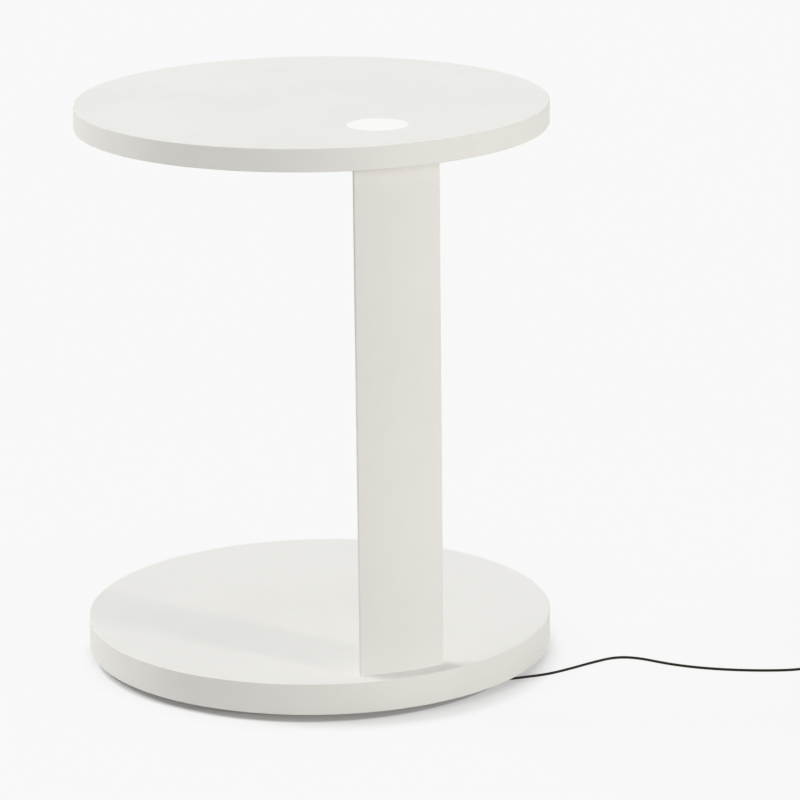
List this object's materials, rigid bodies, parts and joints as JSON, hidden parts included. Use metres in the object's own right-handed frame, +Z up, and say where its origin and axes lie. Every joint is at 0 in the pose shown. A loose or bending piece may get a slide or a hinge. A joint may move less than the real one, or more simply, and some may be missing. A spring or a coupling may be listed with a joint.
{
  "type": "side table with light",
  "caption": "Round side table on a curved column set near the rim, with a flush round light in its top, a weighted base, and a thin cord with a rocker switch and a plug.",
  "frame": {"origin": "on the floor under the middle of the round top and base, which share one axis", "axes": "+Z up; the column stands on the -Y side, so the open side faces +Y; the cord lies towards +X and -Y"},
  "size_m": [0.8404, 0.5503, 0.602],
  "materials": {
    "coated_steel": "satin off-white powder coat",
    "coated_alloy": "satin off-white powder coat",
    "alloy": "plain",
    "steel": "zinc plated",
    "glide": "moulded grey nylon",
    "opal": "opal, lit from below",
    "seal": "matt",
    "reflector": "white",
    "board": "white solder mask",
    "chip": "yellow phosphor",
    "terminal": "moulded",
    "cord": "dark brown jacket",
    "fitting": "moulded dark brown",
    "pin": "nickel plated"
  },
  "bodies": {
    "table": {"ballast_nuts": "steel", "ballast_plate": "steel", "base_bolts": "steel", "base_cover": "coated_steel", "base_cover_screws": "steel", "base_posts": "steel", "base_shell": "coated_steel", "base_washers": "steel", "coil_tie": "fitting", "column_foot_plate": "steel", "column_head_plate": "steel", "column_shell": "coated_steel", "cord_coil": "cord", "cord_gland": "fitting", "cord_lead": "cord", "cord_link": "cord", "cord_tail": "cord", "diffuser": "opal", "diffuser_seal": "seal", "gland_nut": "fitting", "glide_screws": "steel", "glides": "glide", "head_bolts": "steel", "head_washers": "steel", "inner_leads": "cord", "lamp_cup": "alloy", "lamp_reflector": "reflector", "lamp_screws": "steel", "led_board": "board", "led_chips": "chip", "plug_boot": "fitting", "plug_front_shell": "fitting", "plug_pins": "pin", "plug_rear_shell": "fitting", "switch_lower_shell": "fitting", "switch_screws": "steel", "switch_upper_shell": "fitting", "terminal_block": "terminal", "top_posts": "steel", "top_rib_left": "alloy", "top_rib_right": "alloy", "top_screws": "steel", "top_shell": "coated_steel", "top_under_plate": "coated_alloy"},
    "rocker": {"switch_rocker": "fitting"}
  },
  "joints": [
    {"name": "rocker_tilt", "type": "hinge", "parent": "table", "child": "rocker", "pos_m": [0.48802, -0.24624, 0.0094], "axis": [-0.9198, 0.3923, 0], "range_deg": [-16, 0]}
  ]
}
